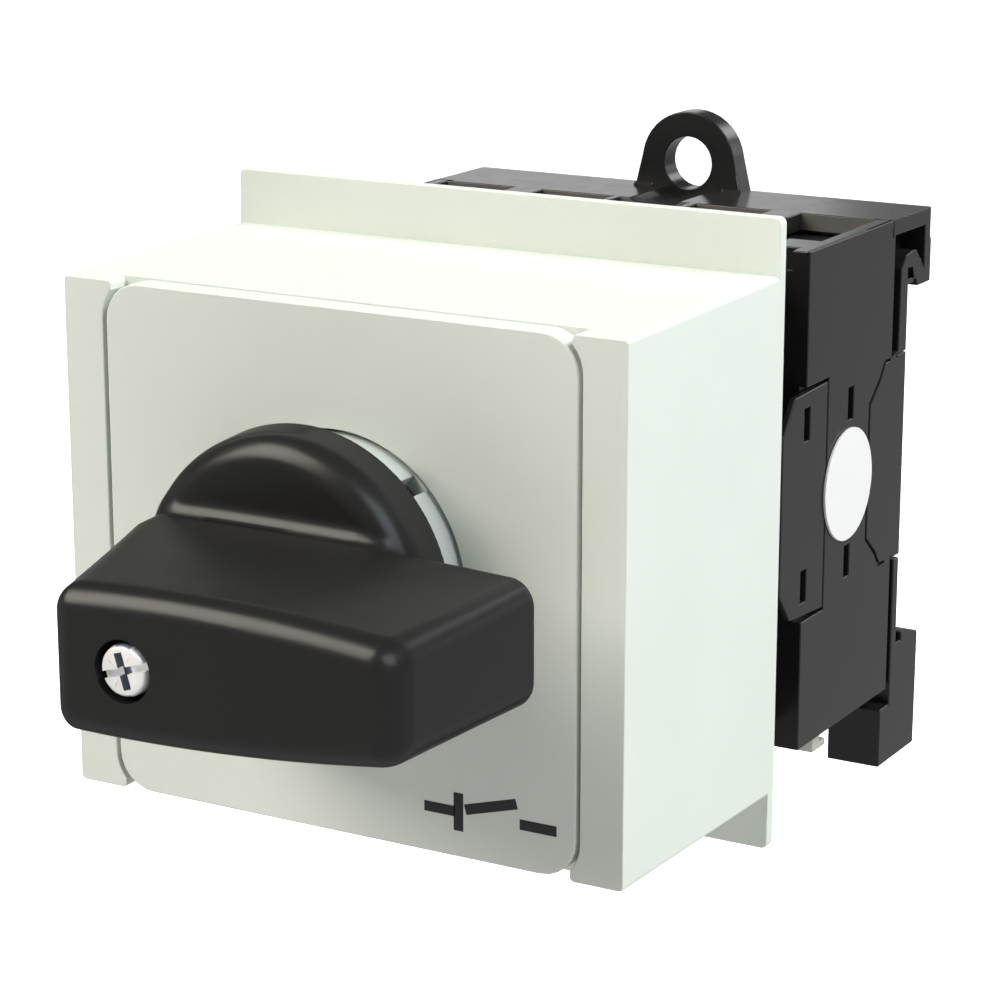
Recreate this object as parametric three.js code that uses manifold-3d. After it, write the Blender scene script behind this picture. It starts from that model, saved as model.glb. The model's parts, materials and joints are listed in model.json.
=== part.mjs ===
// Rotary isolator switch for a 35 mm rail, with a thumb grip and two contact units. Millimetres, +Z up.
// X runs to the right and Y from front to back; Y is measured here from the front face of the cover,
// and the whole group is moved at the end so that its origin lies on the rail seat, on the switch axis.
import * as THREE from "three";
import Module from "manifold-3d";

const wasm = await Module();
wasm.setup();
const { Manifold, CrossSection } = wasm;

// Main sizes
const RAIL_SEAT = 61.4;                                  // Y of the face that lies on the rail
const NOSE_FRONT = { x: 26.83, z: 22.5 };                // half sizes of the cover's nose at the front
const NOSE_BACK = { x: 27.07, z: 22.96 };                // half sizes where it meets the flange
const FLANGE = { front: 26.8, back: 28, low: -27.85, high: 27.9 };
const PLATE = { x: 22.55, z: 22.42, corner: 3.35, thick: 2.15, hole: 12.3 };
const SEAT = { depth: 2.2, wall: 3.9, arc: 19.2, radius: 3.68, tip: { x: 22.38, z: 22.05, r: 0.45 } };
const RING = { outer: 11.95, inner: 10.6, front: -5.2, slot: 1.55, turn: 47.6 };
const HUB = { back: -4.2, front: -9.2, radius: 13.35 };
const GRIP_FRONT = -29.4;
const BASE = { x: 24.46, wall: 2.5, front: 38.8, back: 57.8, z: 22.9 };
const UNIT = { x: 21.55, z: 20.9, fronts: [34.2, 43.9], depth: 9.4, floor: 1.5 };
const CAM = { high: 7.2, low: 5.4 };
const DECK = 21.2;
const SHAFT = 6;
const RAIL = { high: 16.3, low: -18.8 };

// An outline as a flat section, whichever way round its points run
const flat = (outline) => new CrossSection([outline], "EvenOdd");

// Solids
const box = (x0, x1, y0, y1, z0, z1) =>
  Manifold.cube([x1 - x0, y1 - y0, z1 - z0]).translate([x0, y0, z0]);
const prismY = (outline, y0, y1) =>
  flat(outline).extrude(y1 - y0).rotate([90, 0, 0]).translate([0, y1, 0]);
const prismX = (outline, x0, x1) =>
  flat(outline).extrude(x1 - x0).rotate([90, 0, 90]).translate([x0, 0, 0]);
const prismZ = (outline, z0, z1) =>
  flat(outline).extrude(z1 - z0).translate([0, 0, z0]);
const rodY = (r, y0, y1, x = 0, z = 0, sides = 48) =>
  Manifold.cylinder(y1 - y0, r, r, sides).rotate([90, 0, 0]).translate([x, y1, z]);
const coneY = (r0, r1, y0, y1, sides = 48) =>
  Manifold.cylinder(y1 - y0, r1, r0, sides).rotate([90, 0, 0]).translate([0, y1, 0]);
const rodZ = (r, z0, z1, x = 0, y = 0, sides = 20) =>
  Manifold.cylinder(z1 - z0, r, r, sides).translate([x, y, z0]);
const ball = (r, x, y, z) => Manifold.sphere(r, 16).translate([x, y, z]);
const join = (...solids) => Manifold.union(solids);
const hull = (...solids) => Manifold.hull(solids);
const mirrorX = (solid) => solid.mirror([1, 0, 0]);
const mirrorZ = (solid) => solid.mirror([0, 0, 1]);

// Rectangle with round corners, in the plane that faces the front
function roundRect(x, z, r, steps = 6) {
  const points = [];
  for (let corner = 0; corner < 4; corner++) {
    const sx = corner === 0 || corner === 3 ? 1 : -1;
    const sz = corner < 2 ? 1 : -1;
    for (let i = 0; i <= steps; i++) {
      const a = (corner + i / steps) * (Math.PI / 2);
      points.push([sx * (x - r) + r * Math.cos(a), sz * (z - r) + r * Math.sin(a)]);
    }
  }
  return points;
}

// Block whose section grows evenly from front to back
function taper(front, back, y0, y1, corner = 0.4) {
  return hull(
    prismY(roundRect(front.x, front.z, corner, 3), y0, y0 + 0.001),
    prismY(roundRect(back.x, back.z, corner, 3), y1 - 0.001, y1),
  );
}

// Coil spring along Z, standing on z0
function coil(radius, wire, height, turns) {
  const steps = turns * 10;
  const sides = 5;
  const vertices = [];
  const faces = [];
  for (let i = 0; i <= steps; i++) {
    const a = (i / steps) * turns * 2 * Math.PI;
    const z = wire + (i / steps) * (height - 2 * wire);
    for (let j = 0; j < sides; j++) {
      const b = (j / sides) * 2 * Math.PI;
      const r = radius + wire * Math.cos(b);
      vertices.push(r * Math.cos(a), r * Math.sin(a), z + wire * Math.sin(b));
    }
  }
  for (let i = 0; i < steps; i++)
    for (let j = 0; j < sides; j++) {
      const a = i * sides + j;
      const b = i * sides + ((j + 1) % sides);
      faces.push(a, a + sides, b, b, a + sides, b + sides);
    }
  for (let j = 1; j < sides - 1; j++) {
    faces.push(0, j, j + 1);
    faces.push(steps * sides, steps * sides + j + 1, steps * sides + j);
  }
  return new Manifold(
    new wasm.Mesh({
      numProp: 3,
      vertProperties: new Float32Array(vertices),
      triVerts: new Uint32Array(faces),
    }),
  );
}

const group = new THREE.Group();

function add(name, solid) {
  const m = solid.translate([0, -RAIL_SEAT, 0]).getMesh();
  const positions = new Float32Array(m.numVert * 3);
  for (let i = 0; i < m.numVert; i++)
    positions.set(m.vertProperties.subarray(i * m.numProp, i * m.numProp + 3), i * 3);
  const geometry = new THREE.BufferGeometry();
  geometry.setAttribute("position", new THREE.BufferAttribute(positions, 3));
  geometry.setIndex(new THREE.BufferAttribute(new Uint32Array(m.triVerts), 1));
  const mesh = new THREE.Mesh(geometry);
  mesh.name = name;
  group.add(mesh);
}

// Outline of the plate's seat: open above and below, between side strips that curve round the plate's corners
function seatOutline() {
  const { arc, radius, tip } = SEAT;
  const turn = (degrees) => [Math.cos((degrees * Math.PI) / 180), Math.sin((degrees * Math.PI) / 180)];
  const quarter = [0, 10.5, 21, 31.5, 42].map(turn).map(([c, s]) => [arc + radius * c, arc + radius * s]);
  for (const [c, s] of [205, 182, 159, 136, 113, 90].map(turn))
    quarter.push([tip.x + tip.r * c, tip.z + tip.r * s]);
  quarter.push([tip.x, 30]);
  const right = [...quarter.map(([x, z]) => [x, -z]).reverse(), ...quarter];
  return [...right, ...right.map(([x, z]) => [-x, z]).reverse()];
}

// Cover: a drafted nose over a thin flange, with a seat for the front plate between two side strips
function frontCover() {
  const nose = taper(NOSE_FRONT, NOSE_BACK, 0, FLANGE.front);
  const middle = (FLANGE.high + FLANGE.low) / 2;
  const half = (FLANGE.high - FLANGE.low) / 2;
  const flange = prismY(roundRect(NOSE_BACK.x, half, 0.6), FLANGE.front, FLANGE.back)
    .translate([0, 0, middle]);
  const hollow = taper({ x: 25.2, z: 20.9 }, { x: 25.4, z: 21.3 }, SEAT.wall, FLANGE.back + 1);
  const seat = prismY(seatOutline(), -1, SEAT.depth);
  return join(nose, flange).subtract(join(hollow, seat, rodY(12.1, 0, 5)));
}

function frontPlate() {
  return prismY(roundRect(PLATE.x, PLATE.z, PLATE.corner), 0, PLATE.thick)
    .subtract(rodY(PLATE.hole, -1, 3, 0, 0, 72));
}

// Ring round the grip's foot, with four locating slots in its rim and a lip behind the cover's wall
function locatingRing() {
  const rim = rodY(RING.outer, RING.front, 5, 0, 0, 64);
  const lip = rodY(13.6, SEAT.wall + 0.05, 5.2, 0, 0, 64);
  const slots = [0, 90, 180, 270].map((turn) =>
    box(9, 15, RING.front - 1, 0.4, -RING.slot / 2, RING.slot / 2).rotate([0, -(RING.turn + turn), 0]));
  return join(rim, lip).subtract(join(rodY(RING.inner, -9, 6, 0, 0, 48), ...slots));
}

// Grip: a lever with one straight and one slanting flank, on a round hub
function thumbGrip() {
  const r = 1.3;
  const corners = [
    [-6.2 + r, GRIP_FRONT + r, 5.9, -5.2],
    [8, GRIP_FRONT + r, 5.8, -5.1],
    [23.5 - r, -28.6 + r, 4.9, -4.1],
    [24.6 - r, -10.2 - r, 5.9, -4.3],
    [-11.4 + r, -12.7, 6.0, -5.2],
    [-11.4 + r, -8, 6.0, -5.2],
    [14, -10.2 - r, 6.4, -5.1],
  ];
  const balls = corners.flatMap(([x, y, high, low]) => [ball(r, x, y, high - r), ball(r, x, y, low + r)]);
  const lever = hull(...balls);
  const hub = join(
    coneY(12.0, 13.1, HUB.front, HUB.front + 1.2, 64),
    coneY(13.1, HUB.radius, HUB.front + 1.2, HUB.back, 64),
  );
  const foot = join(rodY(10.2, HUB.back - 0.1, 0.4), rodY(5.6, 0.3, 3.2, 0, 0, 32));
  const groove = rodY(12.4, HUB.back - 1.6, HUB.back + 0.01, 0, 0, 48)
    .subtract(rodY(10.2, -9, 1));
  const socket = box(-3.2, 3.2, -24.2, 9, -3.2, 3.2);
  const screwHole = join(rodY(2.48, -33, -27.3, 0, 0, 32), rodY(1.6, -30, -20, 0, 0, 20));
  return join(lever, hub, foot).subtract(join(groove, socket, screwHole));
}

// Pan screw with a slot and a cross recess
function gripScrew() {
  const head = join(rodY(2.05, -28.9, -27.5, 0, 0, 32), coneY(1.75, 2.05, -29.2, -28.9, 32));
  const shank = rodY(1.25, -27.6, -18, 0, 0, 16);
  const slot = box(-2.5, 2.5, -29.5, -28.6, -0.3, 0.3).rotate([0, -17, 0]);
  const cross = box(-0.35, 0.35, -29.5, -28.1, -1.2, 1.2).rotate([0, -17, 0]);
  return join(head, shank).subtract(join(slot, cross));
}

function shaft() {
  const h = SHAFT / 2;
  return box(-h, h, -24, 57, -h, h).subtract(rodY(1.45, -25, -15, 0, 0, 20));
}

// Detent: a four-lobed wheel between two leaf springs
function detentHousing() {
  const shell = join(
    box(-17.5, 17.5, 10, 28.2, -17.5, 17.5),
    box(-UNIT.x, UNIT.x, 28.2, 33.9, -UNIT.z, UNIT.z),
  );
  const hollow = box(-13, 13, 12.5, 35, -9.4, 9.4);
  const bore = rodY(5.9, 4, 20, 0, 0, 32);
  const corner = box(UNIT.x - 2.2, 30, 28.25, 31, -30, 30);
  const boltHoles = boltPlaces.map(([x, z]) => rodY(1.8, 0, 40, x, z, 16));
  return shell.subtract(join(hollow, bore, corner, mirrorX(corner), ...boltHoles));
}

function detentWheel() {
  const points = [];
  for (let i = 0; i < 64; i++) {
    const a = (i / 64) * 2 * Math.PI;
    const r = 7.5 - 0.7 * Math.cos(4 * a);
    points.push([r * Math.cos(a), r * Math.sin(a)]);
  }
  return prismY(points, 14, 24).subtract(box(-3.15, 3.15, 0, 40, -3.15, 3.15));
}

function detentLeaf() {
  const bow = [
    [12.6, 8.8], [12.1, 8.8], [11.6, 5], [9.3, 1.6], [8.75, 0], [9.3, -1.6], [11.6, -5], [12.1, -8.8],
    [12.6, -8.8], [12.1, -4.8], [9.9, -1.5], [9.35, 0], [9.9, 1.5], [12.1, 4.8],
  ];
  return prismY(bow, 15, 23);
}

const boltPlaces = [[16, 0], [-16, 0]];

// Contact unit: a wafer with a cam bore, two follower channels and four terminal pockets, open at the back
function contactUnit(front) {
  const { x, z, depth, floor } = UNIT;
  const back = front + depth;
  const open = [front + floor, back + 1];
  const half = (sign) => {
    const pieces = [
      box(-3.3, 3.3, ...open, 0, 19.5),
      box(-11.6, 11.6, ...open, 11, 18),
      box(7, 19, ...open, 8.4, 12),
      box(-19, -7, ...open, 8.4, 12),
      box(11.4, 19, ...open, 6.3, 22),
      box(-19, -11.4, ...open, 6.3, 22),
    ];
    const solid = join(...pieces);
    return sign > 0 ? solid : mirrorZ(solid);
  };
  const boltHoles = boltPlaces.map(([bx, bz]) => rodY(1.8, front - 1, back + 1, bx, bz, 16));
  return box(-x, x, front, back, -z, z)
    .subtract(join(rodY(7.9, ...open, 0, 0, 48), rodY(4.8, front - 1, back), half(1), half(-1), ...boltHoles));
}

// Cam: its radius falls evenly from the high to the low points, a quarter turn apart
function cam(front) {
  const points = [];
  for (let i = 0; i < 72; i++) {
    const a = (i / 72) * 2 * Math.PI;
    const share = Math.abs(((a / (Math.PI / 2)) % 2) - 1);
    const r = CAM.high - (CAM.high - CAM.low) * share;
    points.push([r * Math.cos(a), r * Math.sin(a)]);
  }
  return prismY(points, front + 1.9, front + 9).subtract(box(-3.15, 3.15, 0, 60, -3.15, 3.15));
}

// Follower: rides on the cam and carries the contact bridge through its window
function follower(front) {
  const y = front + 5.4;
  const outline = [[-0.6, 7.35], [0.6, 7.35], [2.6, 8.6], [2.6, 17.2], [-2.6, 17.2], [-2.6, 8.6]];
  return prismY(outline, y - 3, y + 3).subtract(box(-4, 4, y - 2.2, y + 2.2, 13, 16));
}

function bridge(front) {
  const y = front + 5.4;
  const bar = box(-10, 10, y - 1.9, y + 1.9, 13.8, 14.9);
  return join(bar, rodZ(1.3, 12.95, 13.9, -8.6, y, 16), rodZ(1.3, 12.95, 13.9, 8.6, y, 16));
}

function followerSpring(front) {
  return coil(1.7, 0.28, 2.1, 3).translate([0, front + 5.4, 17.35]);
}

// Terminal: contact strip with its rivet, and the threaded block under the wire
function terminal(front) {
  const y = front + 5.4;
  return join(
    box(7.3, 18.7, y - 2.3, y + 2.3, 9, 10.2),
    rodZ(1.3, 10.1, 10.95, 8.6, y, 16),
    box(12.2, 18.7, y - 2.9, y + 2.9, 6.6, 9.1),
  ).subtract(rodZ(1.75, 5, 12, 15.3, y, 16));
}

function terminalScrew(front) {
  const y = front + 5.4;
  const slot = box(12, 19, y - 0.35, y + 0.35, 15.4, 17);
  return join(rodZ(1.5, 7, 13.6, 15.3, y, 16), rodZ(2.8, 13.5, 16.3, 15.3, y, 24)).subtract(slot);
}

function endPlate() {
  const boltHoles = boltPlaces.map(([bx, bz]) => rodY(1.8, 50, 60, bx, bz, 16));
  return box(-UNIT.x, UNIT.x, 53.5, 57.3, -UNIT.z, UNIT.z)
    .subtract(join(rodY(4.8, 53, 57.31), ...boltHoles));
}

function tieBolt(x) {
  const head = rodY(2.9, 7.6, 9.8, x, 0, 6);
  const body = rodY(1.5, 9.7, 57, x, 0, 16);
  const slot = box(x - 4, x + 4, 7, 8.4, -0.35, 0.35);
  return join(head, body).subtract(slot);
}

// Base: side walls, back wall with the rail seat, upper rail hook and the screw-fixing eye
function baseFrame() {
  const { x, wall, front, back, z } = BASE;
  const side = box(x - wall, x, front, back + 0.2, -z, z);
  const clipPocket = box(x - 0.7, x + 1, front - 1, 43.6, -10.8, 10.8);
  const slots = [7.45, -7.45].map((m) => box(x - 1, x + 1, 48.1, 49.3, m - 1.5, m + 1.5));
  const arm = [[61.4, -9.9], [56.3, -9.9], [55.2, -8.4], [52.95, -6.5], [52.95, 6.5], [55.2, 8.4], [56.3, 9.9],
    [61.4, 9.9]];
  const inner = arm.map(([y, h]) => [y < 61 ? y + 0.3 : y, h * 0.975]);
  const groove = prismX(arm, x - 0.3, x + 1)
    .subtract(join(prismX(inner, x - 1, x + 2), box(0, x + 2, 59.4, 70, -z, z)));
  const gusset = box(19.9, x - wall + 0.1, 40.45, 44.3, DECK, z);
  const frontNotch = box(x - wall - 0.1, 22.72, front - 1, 40.45, DECK, z + 1);
  const rebate = box(x - wall - 0.1, x - 1.5, 44.3, 57, DECK, z + 1);
  const cutSide = side.subtract(join(clipPocket, rebate, frontNotch, ...slots));
  const walls = join(cutSide, gusset, prismX(arm, x - wall, x)).subtract(groove);
  return join(walls, mirrorX(walls), rearBlock(), topDeck()).subtract(topSeams());
}

// Rear of the base: hooks over the rail's upper edge and the flat pad that lies on the rail
function rearBlock() {
  const { x, back, z } = BASE;
  const hook = [[57, z], [57, DECK], [57.7, DECK], [57.7, 10], [61.4, 10], [61.4, RAIL.high], [62.6, RAIL.high],
    [62.6, 16.6], [63.2, 16.6], [63.8, 15.75], [66.75, 15.75], [66.75, 19.8], [66.5, 20.1], [66.5, z]];
  const spring = [[57.8, 21.4], [65.2, 21.3], [65.2, 17.3], [63.2, 19.3], [62.3, 19.35], [60.7, 19.1], [59.7, 18],
    [59.5, 10.3], [57.8, 9.9]];
  const rivet = [[61.3, 17.8], [62.4, 17.75], [62.8, 16.7], [61.3, 16.8]];
  const cut = join(prismX(spring, x - 2.5, x + 1), prismX(rivet, x - 0.8, x + 1));
  const backWall = box(-x, x, back - 0.1, 59.2, -z, 10.1);
  const pad = box(-15, 15, 59.1, RAIL_SEAT, -14, 10.1);
  const lug = join(rodY(4.96, 64, 66.5, 0, 25.48, 40),
    prismY([[-5.79, 22.5], [5.79, 22.5], [4.9, 26.2], [-4.9, 26.2]], 64, 66.5));
  const foot = prismX([[63.6, 22.85], [64.05, 22.85], [64.05, 23.3]], -5.79, -3.75);
  const eye = rodY(2.55, 60, 70, 0, 25.48, 32);
  const headClearance = rodY(3.7, 53, 64, 0, 25.48, 32);
  return join(prismX(hook, -x, x), backWall, pad, lug, foot, mirrorX(foot))
    .subtract(join(cut, mirrorX(cut), eye, headClearance));
}

// Ribs between the wire pockets, and the thin walls of the channel to the screw-fixing eye
function topDeck() {
  const rib = box(12.2, 15.3, 54, 57.1, DECK, BASE.z);
  const channelWall = box(3.7, 4.45, 54, 57.1, DECK, BASE.z);
  const half = join(rib, channelWall);
  return join(half, mirrorX(half));
}

// Shallow lines where the side plates end
function topSeams() {
  const { x, z } = BASE;
  const lines = join(box(x - 0.36, x - 0.2, 38, 57.5, z - 0.35, z + 1),
    box(22.96, x + 1, 57.34, 57.5, z - 0.35, z + 1), box(x - 0.3, x + 1, 57.34, 57.5, 21.3, z + 1),
    box(22.5, 23.1, 57.1, 57.5, z - 0.6, z + 1));
  return join(lines, mirrorX(lines));
}

// Latch: two legs that grip the rail's lower edge, joined by a bar behind the base
function railLatch() {
  const leg = [[57.9, -30.5], [66.6, -30.5], [66.75, -19], [64, -18.1], [62.6, -18.1], [62.6, -18.85],
    [61.35, -18.85], [61.35, -10.2], [60.1, -10.2], [60.1, -24.7], [57.9, -24.7]];
  const right = prismX(leg, 19.1, BASE.x);
  const bar = box(-20, 20, 60.1, 61.3, -21.5, -17.5);
  const stud = box(-1.1, 1.1, 59.7, 61.1, -17.6, -16.6);
  return join(right, mirrorX(right), bar, stud);
}

// Small plated peg under the right side wall
function lowerPeg() {
  return box(21.9, 23.6, 44.1, 46.9, -24.9, -22.95).subtract(box(23, 24, 45.6, 47.5, -24.2, -23.4));
}

function latchSpring() {
  return coil(0.75, 0.2, 2.0, 3).translate([0, 60.4, -16.35]);
}

// Clip that holds the base to the first contact unit
function sideClip() {
  const outline = [[34, -7.1], [36.4, -10], [43.4, -10.5], [43.4, 10.5], [36.4, 10.3], [34, 7.1]];
  const plate = prismX(outline, 23.85, BASE.x);
  const tongue = box(21.95, 24, 34.4, 38.3, -6, 6);
  const slots = [7.45, -7.45].map((m) => box(20, 26, 38.5, 39.7, m - 1.5, m + 1.5));
  return join(plate, tongue).subtract(join(...slots));
}

function sideLabel() {
  return Manifold.cylinder(0.25, 5.25, 5.25, 48).rotate([0, 90, 0]).translate([BASE.x + 0.02, 48.15, 0]);
}

add("front_cover", frontCover());
add("front_plate", frontPlate());
add("locating_ring", locatingRing());
add("thumb_grip", thumbGrip());
add("grip_screw", gripScrew());
add("shaft", shaft());
add("detent_housing", detentHousing());
add("detent_wheel", detentWheel());
add("detent_leaf_right", detentLeaf());
add("detent_leaf_left", mirrorX(detentLeaf()));
UNIT.fronts.forEach((front, i) => {
  const unit = "unit" + (i + 1) + "_";
  add(unit + "housing", contactUnit(front));
  add(unit + "cam", cam(front));
  for (const [end, turn] of [["top", (s) => s], ["bottom", mirrorZ]]) {
    add(unit + "follower_" + end, turn(follower(front)));
    add(unit + "bridge_" + end, turn(bridge(front)));
    add(unit + "spring_" + end, turn(followerSpring(front)));
    for (const [side, flip] of [["right", (s) => s], ["left", mirrorX]]) {
      add(unit + "terminal_" + end + "_" + side, turn(flip(terminal(front))));
      add(unit + "screw_" + end + "_" + side, turn(flip(terminalScrew(front))));
    }
  }
});
add("end_plate", endPlate());
add("tie_bolt_right", tieBolt(boltPlaces[0][0]));
add("tie_bolt_left", tieBolt(boltPlaces[1][0]));
add("base_frame", baseFrame());
add("rail_latch", railLatch());
add("latch_spring", latchSpring());
add("side_clip_right", sideClip());
add("side_clip_left", mirrorX(sideClip()));
add("side_label", sideLabel());
add("lower_peg", lowerPeg());

export default group;
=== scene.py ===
"""Looks of a rail-mounted rotary isolator switch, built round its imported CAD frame.

Lengths in the shape functions are millimetres, measured from the front face of the cover:
X to the right, Y from front to back, Z up. mm() turns them into the frame's metres.
"""
import json
import math

import bmesh
import bpy
import numpy as np
from mathutils import Matrix, Vector

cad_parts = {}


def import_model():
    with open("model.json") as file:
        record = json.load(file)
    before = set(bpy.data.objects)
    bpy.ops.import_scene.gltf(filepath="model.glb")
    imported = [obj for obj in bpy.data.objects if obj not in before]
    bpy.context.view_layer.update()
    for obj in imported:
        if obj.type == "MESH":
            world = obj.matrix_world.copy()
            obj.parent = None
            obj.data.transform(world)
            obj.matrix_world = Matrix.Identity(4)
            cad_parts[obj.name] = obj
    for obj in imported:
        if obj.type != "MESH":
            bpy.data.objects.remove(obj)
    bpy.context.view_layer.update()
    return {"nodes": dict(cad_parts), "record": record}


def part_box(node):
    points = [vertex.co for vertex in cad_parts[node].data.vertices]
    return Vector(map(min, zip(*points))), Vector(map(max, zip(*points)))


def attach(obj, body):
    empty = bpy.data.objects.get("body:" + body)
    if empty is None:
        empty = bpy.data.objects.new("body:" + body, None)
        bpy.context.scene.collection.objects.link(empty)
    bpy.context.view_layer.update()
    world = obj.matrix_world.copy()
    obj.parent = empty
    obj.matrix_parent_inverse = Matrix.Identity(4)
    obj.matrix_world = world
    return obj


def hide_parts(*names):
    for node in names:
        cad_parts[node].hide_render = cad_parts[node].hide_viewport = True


RAIL_SEAT = 61.4  # Y of the frame's origin, which lies on the rail seat
BODY = "switch_body"
ROTOR = "rotor"
LATCH = "rail_latch"

CAMERA_PLACE = (0.13291, -0.26682, 0.07164)
CAMERA_YAW = 29.738
CAMERA_DOWN = 14.952
CAMERA_LENS = 111.7

FLOOR_Z = -0.16
FLOOR_SIDES = 64
# radius and height above the floor, in m, of the rings that make the floor and its wall
FLOOR_PROFILE = ((3.0, 0.0), (3.4, 0.05), (3.7, 0.2), (3.9, 0.5), (4.0, 1.0), (4.0, 4.0))

AIM = (0, -0.04, 0)  # point that every lamp faces
# height, from 0 straight down to 1 straight up, and brightness of the surround
WORLD_GLOW = (
    (0.0, 0.55), (0.3, 0.45), (0.42, 0.38), (0.5, 0.42), (0.58, 0.3), (0.66, 0.12), (1.0, 0.08),
)
# name, direction from the switch, distance in m, size in m, power in W, colour
LIGHTS = (
    ("key_light", (-0.53, -0.58, 0.66), 0.9, (0.6, 0.6), 9.2, (1.0, 0.93, 0.84)),
    ("fill_light", (0.30, -0.88, -0.46), 1.2, (1.2, 0.8), 4.1, (1.0, 0.95, 0.90)),
    ("right_light", (0.70, 0.12, 0.69), 0.9, (0.5, 0.5), 11.4, (0.98, 1.0, 1.0)),
    ("gleam_light", (0.586, -0.517, 0.612), 0.9, (0.5, 0.5), 3.2, (0.85, 0.93, 1.0)),
    ("rim_light", (0.245, 0.84, 0.465), 1.0, (0.3, 0.3), 1.0, (0.94, 0.97, 1.0)),
    ("lug_light", (0.50, 0.84, 0.21), 1.1, (0.35, 0.3), 0.35, (1.0, 1.0, 1.0)),
    ("back_light", (-0.587, 0.78, 0.20), 1.1, (0.585, 0.3), 0.41, (1.0, 1.0, 1.0)),
)
WITHOUT_GLOSS = ("fill_light", "right_light")
GLOSS_ONLY = ("gleam_light",)

ROUND_ANGLE = 35  # edges that turn by more degrees than this get rounded
SHARP_ANGLE = 38  # faces that meet at more degrees than this are shaded apart
ROUND_SEGMENTS = 3
ROUND_TRIES = 6
FOLD_REACH = 1.6  # how far round a folded spot edges stay sharp, in widths of the rounding

GRIP_FRONT = -29.4
LEVER_BACK = -10.1
LEVER_LEFT = -11.4
LEVER_DEPTH = 19.4
HUB_FRONT = -9.2
HUB_BACK = -4.2
HUB_RADIUS = 13.4
SQUARE_HOLE = 3.2  # half the width of the hole for the shaft
SCREW_TURN = -17
SCREW_TOP = -29.2
SCREW_RADIUS = 2.05
GRIP_STEP = 0.3  # spacing of the points that the grip's surface is found with
CREASE_ANGLE = 40  # on the grip and the screw, faces that meet at more degrees are shaded apart

# CAD node, piece that stands for it, material, slot, width of the rounded edges in mm
REFINED = (
    ("front_cover", "cover_shell", "cover", "cover_plastic", 0.12),
    ("front_plate", "inset_plate", "plate", "plate_plastic", 0.2),
    ("locating_ring", "locating_ring_body", "ring", "ring_plastic", 0.12),
    ("base_frame", "base_moulding", "base", "base_plastic", 0.12),
    ("side_clip_right", "side_clip_right_body", "base", "base_plastic", 0.12),
    ("side_clip_left", "side_clip_left_body", "base", "base_plastic", 0.12),
    ("detent_housing", "detent_housing_body", "base", "base_plastic", 0.15),
    ("side_label", "side_label_film", "label", "label_white", 0.05),
    ("lower_peg", "lower_peg_body", "peg", "peg_plated", 0.1),
    ("rail_latch", "rail_latch_body", "base", "base_plastic", 0.15),
)
# planes across each node's large faces: 0, 1 or 2 for X, Y or Z, and their places
CUTS = {
    "front_cover": ((0, (-12, 0, 12)), (1, (1.2, 3, 10, 20)), (2, (-25, -15, 0, 15, 25))),
    "front_plate": ((0, (0,)), (2, (0,))),
    "locating_ring": ((0, (0,)), (2, (0,))),
    "base_frame": (
        (0, (-20, -14, -8, 0, 8, 14, 20)),
        (1, (41, 46, 48.7, 52, 60, 62.2, 64.5, 65.5)),
        (2, (-18, -12, -7.45, -4, 0, 4, 7.45, 12, 16.2, 18.4, 19.9, 22.3, 25.48)),
    ),
    "side_clip_right": ((1, (36.5, 39.1)), (2, (-7.45, 0, 7.45))),
    "side_clip_left": ((1, (36.5, 39.1)), (2, (-7.45, 0, 7.45))),
    "detent_housing": ((0, (-16, 0, 16)), (2, (0,))),
    "rail_latch": ((0, (-22, 0, 22)), (1, (59, 62)), (2, (-27, -22, -18.5))),
}
# Y of the edges that stay square, where the plate lies in its seat
PLAIN_EDGES = {"front_plate": 2.15, "front_cover": 2.2}
# bars of the printed sign: x from and to, z from and to, tilt in degrees
MARK_BARS = (
    (8.4, 11.3, -18.9, -18.0, 0),
    (11.2, 12.1, -20.1, -16.8, 0),
    (12.2, 17.2, -17.9, -17.0, -16),
    (17.4, 20.8, -18.9, -18.0, 0),
)


def mm(points):
    """Points in millimetres from the cover's front face, as metres in the frame."""
    return (np.asarray(points, float) - (0, RAIL_SEAT, 0)) / 1000


# ---------------------------------------------------------------- materials

def new_material(name):
    material = bpy.data.materials.new(name)
    material.use_nodes = True
    nodes = material.node_tree.nodes
    return material, nodes, material.node_tree.links, nodes["Principled BSDF"]


def noise(nodes, links, scale, detail=3.0, stretch=None):
    """Noise in the piece's own coordinates; scale is in features per metre."""
    place = nodes.new("ShaderNodeTexCoord")
    texture = nodes.new("ShaderNodeTexNoise")
    texture.inputs["Scale"].default_value = scale
    texture.inputs["Detail"].default_value = detail
    source = place.outputs["Object"]
    if stretch:
        mapping = nodes.new("ShaderNodeMapping")
        mapping.inputs["Scale"].default_value = stretch
        links.new(source, mapping.inputs["Vector"])
        source = mapping.outputs["Vector"]
    links.new(source, texture.inputs["Vector"])
    return texture.outputs["Fac"]


def spread(nodes, links, source, low, high, start=0.3, end=0.7):
    """Maps a noise onto a range of values."""
    ranged = nodes.new("ShaderNodeMapRange")
    ranged.inputs["From Min"].default_value = start
    ranged.inputs["From Max"].default_value = end
    ranged.inputs["To Min"].default_value = low
    ranged.inputs["To Max"].default_value = high
    links.new(source, ranged.inputs["Value"])
    return ranged.outputs["Result"]


def shades(nodes, links, source, dark, light):
    ramp = nodes.new("ShaderNodeValToRGB")
    ramp.color_ramp.elements[0].position = 0.35
    ramp.color_ramp.elements[0].color = (*dark, 1)
    ramp.color_ramp.elements[1].position = 0.65
    ramp.color_ramp.elements[1].color = (*light, 1)
    links.new(source, ramp.inputs["Fac"])
    return ramp.outputs["Color"]


def bump(nodes, links, shader, source, strength, distance):
    node = nodes.new("ShaderNodeBump")
    node.inputs["Strength"].default_value = strength
    node.inputs["Distance"].default_value = distance
    links.new(source, node.inputs["Height"])
    links.new(node.outputs["Normal"], shader.inputs["Normal"])


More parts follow.
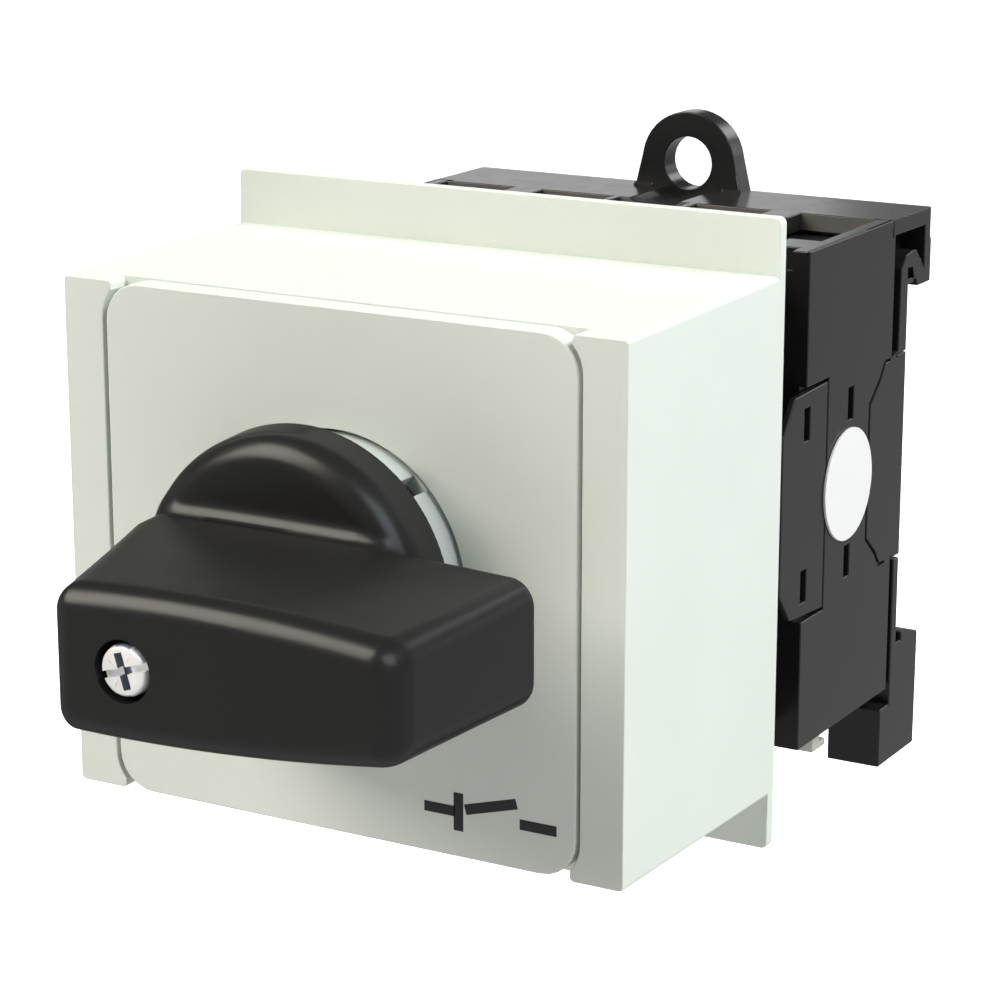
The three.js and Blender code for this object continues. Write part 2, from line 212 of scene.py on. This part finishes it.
def plastic(name, colour, rough=0.45, change=0.04, grain=9000, depth=0.000008, specular=0.5, glancing=None):
    """Moulded plastic: faint cloudiness in its colour and gloss, and a fine surface grain.

    glancing is the specular level where the surface is seen almost edge on.
    """
    material, nodes, links, shader = new_material(name)
    cloud = noise(nodes, links, 90)
    dark = tuple(c * (1 - change) for c in colour)
    light = tuple(min(1, c * (1 + change)) for c in colour)
    links.new(shades(nodes, links, cloud, dark, light), shader.inputs["Base Color"])
    gloss = spread(nodes, links, noise(nodes, links, 400), rough - 0.015, rough + 0.015)
    links.new(gloss, shader.inputs["Roughness"])
    shader.inputs["Specular IOR Level"].default_value = specular
    if glancing is not None:
        edge = nodes.new("ShaderNodeLayerWeight")
        edge.inputs["Blend"].default_value = 0.5
        level = spread(nodes, links, edge.outputs["Facing"], specular, glancing, 0.42, 0.68)
        links.new(level, shader.inputs["Specular IOR Level"])
    bump(nodes, links, shader, noise(nodes, links, grain, 2.0), 0.2, depth)
    return material


def metal(name, colour, rough=0.3, stretch=(1, 1, 12), metallic=1.0):
    """Plated or drawn metal: fine lines along one way and a little cloudiness."""
    material, nodes, links, shader = new_material(name)
    cloud = noise(nodes, links, 300)
    dark = tuple(c * 0.86 for c in colour)
    links.new(shades(nodes, links, cloud, dark, colour), shader.inputs["Base Color"])
    lines = noise(nodes, links, 2500, 4.0, stretch)
    links.new(spread(nodes, links, lines, rough - 0.08, rough + 0.1), shader.inputs["Roughness"])
    shader.inputs["Metallic"].default_value = metallic
    bump(nodes, links, shader, lines, 0.25, 0.000006)
    return material


def make_materials():
    return {
        "cover": plastic("cover_plastic", (0.64, 0.69, 0.64), 0.42, 0.012),
        "plate": plastic("plate_plastic", (0.64, 0.685, 0.64), 0.40, 0.012),
        "ring": plastic("ring_plastic", (0.62, 0.68, 0.67), 0.4, 0.02),
        "grip": plastic("grip_plastic", (0.0128, 0.0127, 0.0126), 0.30, 0.04, 7000, 0.0000002, 0.31, 0.02),
        "base": plastic("base_plastic", (0.0115, 0.0115, 0.0115), 0.22, 0.05, 6000, 0.000001, 0.42),
        # painted sheen: a lighter colour for the pocket back walls, standing in for the key light they
        # reflect
        "pocket": plastic("pocket_painted_sheen", (0.12, 0.115, 0.108), 0.45, 0.05, 6000, 0.000001, 0.3),
        "label": plastic("label_film", (0.72, 0.72, 0.72), 0.5, 0.01),
        "cam": plastic("cam_plastic", (0.72, 0.70, 0.64), 0.4, 0.03),
        "print": plastic("print_black", (0.012, 0.012, 0.013), 0.5, 0.1),
        "screw": metal("screw_zinc", (0.97, 0.975, 0.98), 0.38, metallic=0.35),
        # painted shade: a dark slate colour for the faces inside the screw's cross recess
        "recess": metal("recess_shadow", (0.26, 0.30, 0.38), 0.4, metallic=0.3),
        "steel": metal("drawn_steel", (0.56, 0.57, 0.58), 0.3),
        "brass": metal("contact_brass", (0.80, 0.62, 0.32), 0.3),
        "peg": metal("peg_plated", (0.66, 0.64, 0.58), 0.45, metallic=0.5),
    }


# ---------------------------------------------------------------- mesh tools

def new_object(name, mesh):
    piece = bpy.data.objects.new(name, mesh)
    bpy.context.scene.collection.objects.link(piece)
    return piece


def smooth(mesh):
    for face in mesh.polygons:
        face.use_smooth = True


def place_object(name, mesh, material, body):
    """A visible piece that moves with a body of the frame."""
    piece = new_object(name, mesh)
    mesh.materials.clear()
    mesh.materials.append(material)
    smooth(mesh)
    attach(piece, body)
    return piece


def folded_spots(mesh):
    """Corners of faces that fold over: their triangles cover more than their outline does."""
    mesh.calc_loop_triangles()
    covered = {}
    for triangle in mesh.loop_triangles:
        covered[triangle.polygon_index] = covered.get(triangle.polygon_index, 0) + triangle.area
    spots = []
    for face in mesh.polygons:
        corners = [mesh.vertices[i].co for i in face.vertices]
        turns = (a.cross(b) for a, b in zip(corners, corners[1:] + corners[:1]))
        outline = sum(turns, Vector()).length / 2
        if abs(covered.get(face.index, 0) - outline) > 2e-9 + 0.03 * outline:
            spots += [corner.copy() for corner in corners]
    return spots


def evaluated_mesh(piece):
    """The piece's mesh with its modifiers applied."""
    bpy.context.view_layer.update()
    return bpy.data.meshes.new_from_object(piece.evaluated_get(bpy.context.evaluated_depsgraph_get()))


def mark_edges(mesh, plain):
    """Marks the outer edges, which get rounded, apart from those in the plain place along Y."""
    work = bmesh.new()
    work.from_mesh(mesh)
    marks = work.edges.layers.float.new("bevel_weight_edge")
    for edge in work.edges:
        if edge.is_manifold and edge.calc_face_angle_signed() > math.radians(ROUND_ANGLE):
            places = [v.co.y * 1000 + RAIL_SEAT for v in edge.verts]
            square = plain is not None and all(abs(place - plain) < 0.03 for place in places)
            edge[marks] = 0 if square else 1
    work.to_mesh(mesh)
    work.free()


def unmark_edges(mesh, spots, reach):
    """Takes the mark off edges that run between the given spots, the short ones first."""
    marks = mesh.attributes["bevel_weight_edge"].data
    near = {v.index for v in mesh.vertices if any((v.co - spot).length < reach for spot in spots)}
    found = []
    for edge in mesh.edges:
        a, b = edge.vertices
        if marks[edge.index].value > 0 and a in near and b in near:
            found.append((edge.index, (mesh.vertices[a].co - mesh.vertices[b].co).length))
    short = [(index, length) for index, length in found if length < 2 * reach]
    for index, _ in short or found:
        marks[index].value = 0


def round_edges(piece, width, plain):
    """Rounds the outer edges; an edge whose rounding would fold over stays sharp."""
    bevel = piece.modifiers.new("round_edges", "BEVEL")
    bevel.width = width / 1000
    bevel.segments = ROUND_SEGMENTS
    bevel.limit_method = "WEIGHT"
    bevel.use_clamp_overlap = False
    bevel.miter_outer = "MITER_ARC"
    bevel.material = 1
    piece.data.materials.append(piece.data.materials[0])
    mark_edges(piece.data, plain)
    best, fewest = None, None
    for _ in range(ROUND_TRIES):
        result = evaluated_mesh(piece)
        spots = folded_spots(result)
        if best is None or len(spots) < fewest:
            best, fewest = result, len(spots)
        if not spots:
            break
        unmark_edges(piece.data, spots, FOLD_REACH * width / 1000)
    piece.modifiers.remove(bevel)
    piece.data = best
    shade(best)


def shade(mesh):
    """Keeps flat faces flat right up to their rounded edges, which blend from one face to the next."""
    faces = mesh.polygons
    normals = [face.normal.copy() for face in faces]
    rounded = [face.material_index == 1 for face in faces]
    around = [[] for _ in mesh.vertices]
    for face in faces:
        for corner in face.vertices:
            around[corner].append(face.index)
    limit = math.cos(math.radians(SHARP_ANGLE))

    def blended(corner, wanted, close_to):
        """Mean normal of the faces of one kind round a corner that point much the same way."""
        total = Vector()
        for other in around[corner]:
            if rounded[other] == wanted and normals[other].dot(close_to) > limit:
                total += normals[other] * faces[other].area
        return total.normalized() if total.length > 0 else close_to

    result = [Vector()] * len(mesh.loops)
    for face in faces:
        own = normals[face.index]
        for loop in face.loop_indices:
            corner = mesh.loops[loop].vertex_index
            if rounded[face.index]:
                flats = [normals[i] for i in around[corner] if not rounded[i]]
                nearest = max(flats, key=own.dot, default=None)
                if nearest is not None and nearest.dot(own) > 0.5:
                    result[loop] = blended(corner, False, nearest)
                else:
                    result[loop] = blended(corner, True, own)
            else:
                result[loop] = blended(corner, False, own)
    for face in faces:
        face.material_index = 0
    smooth(mesh)
    mesh.normals_split_custom_set(result)
    mesh.materials.pop(index=1)


def clean_copy(node, cuts):
    """The CAD node's mesh with its flat faces whole again, apart from straight cuts across them."""
    work = bmesh.new()
    work.from_mesh(node.data)
    bmesh.ops.remove_doubles(work, verts=work.verts, dist=2e-7)
    for axis, places in cuts:
        normal = Vector(np.eye(3)[axis])
        for place in places:
            point = Vector(mm(np.eye(3)[axis] * place))
            everything = work.verts[:] + work.edges[:] + work.faces[:]
            made = bmesh.ops.bisect_plane(work, geom=everything, plane_co=point, plane_no=normal, dist=1e-7)
            for item in made["geom_cut"]:
                if isinstance(item, bmesh.types.BMEdge):
                    item.seam = True
    bmesh.ops.dissolve_limit(
        work, angle_limit=math.radians(0.05), verts=work.verts, edges=work.edges,
        use_dissolve_boundaries=False, delimit={"SEAM"},
    )
    work.verts.index_update()
    points = [tuple(v.co) for v in work.verts]
    faces = [[v.index for v in face.verts] for face in work.faces]
    work.free()
    mesh = bpy.data.meshes.new(node.name + "_clean")
    mesh.from_pydata(points, [], faces)
    return mesh


def refine(frame, node, name, material, body, width):
    """A piece with rounded edges that stands for a CAD node."""
    mesh = clean_copy(frame["nodes"][node], CUTS.get(node, ()))
    piece = place_object(name, mesh, material, body)
    round_edges(piece, width, PLAIN_EDGES.get(node))
    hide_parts(node)
    return piece


def surface_net(field, low, high, step):
    """Vertices and four-sided faces of the surface where field(points) is zero."""
    axes = [np.arange(low[i], high[i] + step, step) for i in range(3)]
    grid = np.stack(np.meshgrid(*axes, indexing="ij"), -1)
    value = field(grid)
    cells = tuple(n - 1 for n in value.shape)
    total = np.zeros((*cells, 3))
    count = np.zeros(cells)
    edges = []
    for axis in range(3):
        near = tuple(slice(0, -1) if k == axis else slice(None) for k in range(3))
        far = tuple(slice(1, None) if k == axis else slice(None) for k in range(3))
        a, b = value[near], value[far]
        at = np.argwhere((a < 0) != (b < 0))
        first = a[tuple(at.T)]
        share = first / (first - b[tuple(at.T)])
        point = grid[tuple(at.T)].copy()
        point[:, axis] += share * step
        others = [k for k in range(3) if k != axis]
        around = []
        for du, dv in ((0, 0), (1, 0), (1, 1), (0, 1)):
            cell = at.copy()
            cell[:, others[0]] -= du
            cell[:, others[1]] -= dv
            np.add.at(total, tuple(cell.T), point)
            np.add.at(count, tuple(cell.T), 1)
            around.append(cell)
        turned = (first < 0) if axis != 1 else (first > 0)
        edges.append((np.stack(around, 1), turned))
    used = np.argwhere(count > 0)
    index = -np.ones(cells, int)
    index[tuple(used.T)] = np.arange(len(used))
    vertices = total[tuple(used.T)] / count[tuple(used.T)][:, None]
    faces = []
    for around, turned in edges:
        quads = index[around[..., 0], around[..., 1], around[..., 2]]
        quads[~turned] = quads[~turned][:, ::-1]
        faces.append(quads)
    return settle(field, vertices, step), np.concatenate(faces)


def settle(field, points, step):
    """Moves points onto the zero surface of the field."""
    small = step * 0.05
    for _ in range(4):
        value = field(points)
        slope = np.stack([
            (field(points + offset) - field(points - offset)) / (2 * small)
            for offset in np.eye(3) * small
        ], -1)
        size = np.maximum((slope ** 2).sum(-1, keepdims=True), 0.05)
        move = slope * value[:, None] / size
        points = points - np.clip(move, -step, step)
    return points


def mesh_from(name, vertices, faces):
    mesh = bpy.data.meshes.new(name)
    mesh.from_pydata([tuple(v) for v in mm(vertices)], [], [tuple(int(i) for i in f) for f in faces])
    work = bmesh.new()
    work.from_mesh(mesh)
    bmesh.ops.recalc_face_normals(work, faces=work.faces)
    work.to_mesh(mesh)
    work.free()
    return mesh


def both(a, b, radius):
    """Inside both shapes, with their edge rounded."""
    p, q = a + radius, b + radius
    return np.minimum(np.maximum(p, q), 0) + np.hypot(np.maximum(p, 0), np.maximum(q, 0)) - radius


def either(a, b, radius):
    """Inside either shape, with a fillet where they meet."""
    return -both(-a, -b, radius)


def half_plane(x, y, start, end):
    """Signed distance to the line from start to end, positive on its right-hand side."""
    dx, dy = end[0] - start[0], end[1] - start[1]
    return ((x - start[0]) * dy - (y - start[1]) * dx) / math.hypot(dx, dy)


# ---------------------------------------------------------------- grip

def lever_field(x, y, z):
    """Lever with one straight and one slanting flank, and a crowned top and bottom."""
    front_left = (-6.2, GRIP_FRONT)
    front_right = (23.6, -28.7)
    back_right = (24.6, LEVER_BACK)
    front = half_plane(x, y, front_left, front_right)
    right = half_plane(x, y, front_right, back_right)
    back = half_plane(x, y, back_right, (LEVER_LEFT, LEVER_BACK))
    left = both(
        half_plane(x, y, (LEVER_LEFT, 0), (LEVER_LEFT, -12.7)),
        half_plane(x, y, (LEVER_LEFT, -12.7), front_left),
        0.8,
    )
    plan = both(both(front, right, 2.4), left, 1.2)
    depth = (y - GRIP_FRONT) / LEVER_DEPTH
    top = (6.25 - 0.0036 * (x - 5) ** 2) * (1 - depth) + (6.5 - 0.001 * (x + 2) ** 2) * depth
    bottom = (6.0 - 0.0032 * (x + 1) ** 2) * (1 - depth) + (5.2 - 0.0012 * (x + 2) ** 2) * depth
    crown = np.maximum(z - top, -z - bottom)
    lever = both(both(plan, crown, 2.1), back, 0.7)
    core = np.maximum(np.abs(x) - 10.8, np.maximum(y + 6, -11.2 - y))
    return np.minimum(lever, both(core, np.maximum(z - top + 0.4, -z - bottom), 0.5))


def grip_field(points):
    """The lever on its round hub, with the foot and the boss behind it."""
    x, y, z = points[..., 0], points[..., 1], points[..., 2]
    radial = np.hypot(x, z)
    side = radial - (HUB_RADIUS + 0.06 * (y - HUB_FRONT))
    hub = both(side, HUB_FRONT - y, 2.3)
    hub = both(hub, y - HUB_BACK, 0.3)
    fillet = 1.6 - 1.3 * np.clip((x - 8) / 4.5, 0, 1)
    shape = either(lever_field(x, y, z), hub, fillet)
    foot = np.maximum(radial - 10.2, np.maximum(y - 0.4, -8 - y))
    boss = np.maximum(radial - 5.6, np.maximum(y - 3.2, -8 - y))
    return np.minimum(np.minimum(shape, foot), boss)


def rod_mesh(radius, y0, y1, sides=64, inner=0.0):
    """Cylinder or tube along Y, centred on the switch axis."""
    work = bmesh.new()
    turns = [2 * math.pi * i / sides for i in range(sides)]
    rings = []
    for r, y in ((radius, y0), (radius, y1), (inner, y1), (inner, y0)):
        if r <= 0:
            continue
        rings.append([work.verts.new(tuple(mm((r * math.cos(t), y, r * math.sin(t))))) for t in turns])
    count = len(rings)
    pairs = [(0, 1), (1, 2), (2, 3), (3, 0)] if count == 4 else [(0, 1)]
    for a, b in pairs:
        for i in range(sides):
            j = (i + 1) % sides
            work.faces.new((rings[a][i], rings[a][j], rings[b][j], rings[b][i]))
    if count == 2:
        work.faces.new(rings[0])
        work.faces.new(rings[1])
    bmesh.ops.recalc_face_normals(work, faces=work.faces)
    mesh = bpy.data.meshes.new("rod")
    work.to_mesh(mesh)
    work.free()
    return mesh


def box_mesh(x0, x1, y0, y1, z0, z1):
    """A block, for cuts and for the bars of the printed sign."""
    work = bmesh.new()
    corners = [(x, y, z) for x in (x0, x1) for y in (y0, y1) for z in (z0, z1)]
    verts = [work.verts.new(tuple(mm(c))) for c in corners]
    for face in ((0, 1, 3, 2), (4, 6, 7, 5), (0, 4, 5, 1), (2, 3, 7, 6), (0, 2, 6, 4), (1, 5, 7, 3)):
        work.faces.new([verts[i] for i in face])
    bmesh.ops.recalc_face_normals(work, faces=work.faces)
    mesh = bpy.data.meshes.new("box")
    work.to_mesh(mesh)
    work.free()
    return mesh


def carve(piece, meshes):
    """Cuts the given shapes out of a piece and keeps the result as its mesh."""
    for mesh in meshes:
        tool = new_object(piece.name + "_cut", mesh)
        cut = piece.modifiers.new("cut", "BOOLEAN")
        cut.operation = "DIFFERENCE"
        cut.solver = "EXACT"
        cut.object = tool
        result = evaluated_mesh(piece)
        piece.modifiers.remove(cut)
        old = piece.data
        piece.data = result
        bpy.data.meshes.remove(old)
        bpy.data.objects.remove(tool)


def make_grip(materials):
    step = GRIP_STEP
    vertices, faces = surface_net(grip_field, (-15, -31, -15), (26.5, 5, 15), step)
    mesh = mesh_from("thumb_grip_body", vertices, faces)
    piece = place_object("thumb_grip_body", mesh, materials["grip"], ROTOR)
    carve(piece, [
        rod_mesh(2.48, -33, -27.3),
        rod_mesh(1.6, -30, -20, 32),
        box_mesh(-SQUARE_HOLE, SQUARE_HOLE, -24.2, 9, -SQUARE_HOLE, SQUARE_HOLE),
        rod_mesh(12.4, HUB_BACK - 1.6, HUB_BACK + 3, 96, 10.2),
    ])
    smooth(piece.data)
    piece.data.set_sharp_from_angle(angle=math.radians(CREASE_ANGLE))
    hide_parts("thumb_grip")


# ---------------------------------------------------------------- screw

def turned(profile, sides=72):
    """Solid of revolution about the switch axis; profile is (radius, y) from front to back."""
    work = bmesh.new()
    turns = [2 * math.pi * i / sides for i in range(sides)]
    rings = [
        [work.verts.new(tuple(mm((r * math.cos(t), y, r * math.sin(t))))) for t in turns]
        for r, y in profile
    ]
    work.faces.new(rings[0])
    work.faces.new(rings[-1])
    for near, far in zip(rings, rings[1:]):
        for i in range(sides):
            j = (i + 1) % sides
            work.faces.new((near[i], near[j], far[j], far[i]))
    bmesh.ops.recalc_face_normals(work, faces=work.faces)
    mesh = bpy.data.meshes.new("turned")
    work.to_mesh(mesh)
    work.free()
    return mesh


def spun_box(x0, x1, y0, y1, z0, z1, degrees):
    """A box turned about the switch axis."""
    mesh = box_mesh(x0, x1, y0, y1, z0, z1)
    mesh.transform(Matrix.Rotation(math.radians(degrees), 4, "Y"))
    return mesh


def shade_recess(piece, material):
    """Gives the faces low in the cross recess a darker tone: painted shade for the shadow inside the
    recess.
    """
    piece.data.materials.append(material)
    for face in piece.data.polygons:
        x, z = face.center.x * 1000, face.center.z * 1000
        depth = face.center.y * 1000 + RAIL_SEAT
        inside = math.hypot(x, z) < SCREW_RADIUS and -29.1 < depth < -27.9
        if inside and abs(x) * math.cos(math.radians(SCREW_TURN)) < 0.6:
            face.material_index = 1


def make_grip_screw(materials):
    """Flat-topped head with a slot, a cross recess and short radial marks, and its shank."""
    head = turned((
        (1.72, SCREW_TOP), (1.86, -29.16), (1.98, -29.04), (SCREW_RADIUS, -28.8), (SCREW_RADIUS, -27.5),
        (1.25, -27.5), (1.25, -18.3), (1.0, -18.0),
    ))
    piece = place_object("grip_screw_body", head, materials["screw"], ROTOR)
    cuts = [
        spun_box(-2.5, 2.5, -30, -28.55, -0.3, 0.3, SCREW_TURN),
        spun_box(-0.36, 0.36, -30, -28.2, -1.45, 1.45, SCREW_TURN),
    ]
    for quarter in range(4):
        cuts.append(spun_box(0.75, 1.4, -30, -29.12, -0.05, 0.05, SCREW_TURN + 45 + 90 * quarter))
    carve(piece, cuts)
    piece.data.set_sharp_from_angle(angle=math.radians(CREASE_ANGLE))
    shade_recess(piece, materials["recess"])
    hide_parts("grip_screw")


# ---------------------------------------------------------------- the other pieces

def paint_pocket_back_sheen(piece, material):
    """Gives the back walls of the wire pockets on top a lighter colour than the rest of the base: a painted
    sheen that stands in for the key light these walls reflect.
    """
    piece.data.materials.append(material)
    low, high = mm(((-23, 56.9, 21.3), (23, 57.4, 22.85)))
    for face in piece.data.polygons:
        if face.normal.y < -0.9 and all(low[i] < face.center[i] < high[i] for i in range(3)):
            face.material_index = 1


def make_refined(frame, materials):
    for node, name, material, slot, width in REFINED:
        body = LATCH if node == "rail_latch" else BODY
        piece = refine(frame, node, name, materials[material], body, width)
        if node == "base_frame":
            paint_pocket_back_sheen(piece, materials["pocket"])


def dress_cad(frame, materials):
    """Materials for the CAD nodes that stay: the parts inside the switch."""
    by_slot = {
        "base_plastic": "base", "cam_plastic": "cam", "contact_brass": "brass",
        "shaft_steel": "steel", "screw_steel": "screw",
    }
    slots = {s["node"]: s["material_slot"] for s in frame["record"]["subparts"]}
    for name, node in frame["nodes"].items():
        slot = slots.get(name)
        if slot in by_slot:
            node.data.materials.clear()
            node.data.materials.append(materials[by_slot[slot]])


def make_mark(materials):
    """Printed sign of an isolating switch, low on the right of the front plate."""
    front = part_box("front_plate")[0][1] * 1000 + RAIL_SEAT
    y0, y1 = front - 0.02, front + 0.1
    work = bmesh.new()
    for x0, x1, z0, z1, tilt in MARK_BARS:
        bar = box_mesh(x0, x1, y0, y1, z0, z1)
        middle = Matrix.Translation(mm(((x0 + x1) / 2, 0, (z0 + z1) / 2)))
        bar.transform(middle @ Matrix.Rotation(math.radians(tilt), 4, "Y") @ middle.inverted())
        work.from_mesh(bar)
    mesh = bpy.data.meshes.new("front_mark")
    work.to_mesh(mesh)
    work.free()
    place_object("front_mark", mesh, materials["print"], BODY)
    mesh.set_sharp_from_angle(angle=math.radians(SHARP_ANGLE))


# ---------------------------------------------------------------- stage

def make_camera():
    data = bpy.data.cameras.new("camera")
    data.lens = CAMERA_LENS
    data.sensor_width = 36
    data.clip_start = 0.01
    data.clip_end = 20
    camera = bpy.data.objects.new("camera", data)
    camera.location = CAMERA_PLACE
    camera.rotation_euler = (math.radians(90 - CAMERA_DOWN), 0, math.radians(CAMERA_YAW))
    bpy.context.scene.collection.objects.link(camera)
    bpy.context.scene.camera = camera


def area_light(name, place, target, size, power, colour):
    data = bpy.data.lights.new(name, "AREA")
    data.shape = "RECTANGLE"
    data.size, data.size_y = size
    data.energy = power
    data.color = colour
    lamp = bpy.data.objects.new(name, data)
    lamp.visible_camera = False
    lamp.location = place
    aim = Vector(target) - Vector(place)
    lamp.rotation_euler = aim.to_track_quat("-Z", "Y").to_euler()
    bpy.context.scene.collection.objects.link(lamp)
    return lamp


def make_floor():
    """Pale floor that runs up into a wall on all sides."""
    work = bmesh.new()
    rings = []
    for radius, height in FLOOR_PROFILE:
        ring = [
            work.verts.new((radius * math.cos(turn), radius * math.sin(turn), FLOOR_Z + height))
            for turn in np.linspace(0, 2 * math.pi, FLOOR_SIDES, endpoint=False)
        ]
        rings.append(ring)
    work.faces.new(rings[0])
    for lower, upper in zip(rings, rings[1:]):
        for i in range(FLOOR_SIDES):
            j = (i + 1) % FLOOR_SIDES
            work.faces.new((lower[i], lower[j], upper[j], upper[i]))
    mesh = bpy.data.meshes.new("floor")
    work.to_mesh(mesh)
    work.free()
    material, _, _, shader = new_material("floor")
    shader.inputs["Base Color"].default_value = (0.9, 0.9, 0.9, 1)
    shader.inputs["Roughness"].default_value = 0.9
    shader.inputs["Emission Color"].default_value = (1, 1, 1, 1)
    shader.inputs["Emission Strength"].default_value = 1.0
    mesh.materials.append(material)
    floor = new_object("floor", mesh)
    floor.visible_glossy = False
    floor.visible_diffuse = False
    floor.visible_shadow = False


def make_lights():
    for name, direction, distance, size, power, colour in LIGHTS:
        place = Vector(direction).normalized() * distance + Vector(AIM)
        lamp = area_light(name, place, AIM, size, power, colour)
        lamp.visible_glossy = name not in WITHOUT_GLOSS
        lamp.visible_diffuse = name not in GLOSS_ONLY


def make_world():
    """Studio surround whose brightness changes with height only."""
    world = bpy.data.worlds.new("studio")
    world.use_nodes = True
    nodes, links = world.node_tree.nodes, world.node_tree.links
    place = nodes.new("ShaderNodeTexCoord")
    parts = nodes.new("ShaderNodeSeparateXYZ")
    links.new(place.outputs["Generated"], parts.inputs["Vector"])
    height = spread(nodes, links, parts.outputs["Z"], 0, 1, -1, 1)
    ramp = nodes.new("ShaderNodeValToRGB")
    while len(ramp.color_ramp.elements) < len(WORLD_GLOW):
        ramp.color_ramp.elements.new(0.5)
    for element, (position, glow) in zip(ramp.color_ramp.elements, WORLD_GLOW):
        element.position = position
        element.color = (glow, glow, glow, 1)
    links.new(height, ramp.inputs["Fac"])
    links.new(ramp.outputs["Color"], nodes["Background"].inputs["Color"])
    bpy.context.scene.world = world
    bpy.context.scene.view_settings.view_transform = "Standard"


def main():
    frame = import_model()
    make_camera()
    make_floor()
    make_world()
    make_lights()
    materials = make_materials()
    make_refined(frame, materials)
    make_grip(materials)
    make_grip_screw(materials)
    make_mark(materials)
    dress_cad(frame, materials)


main()
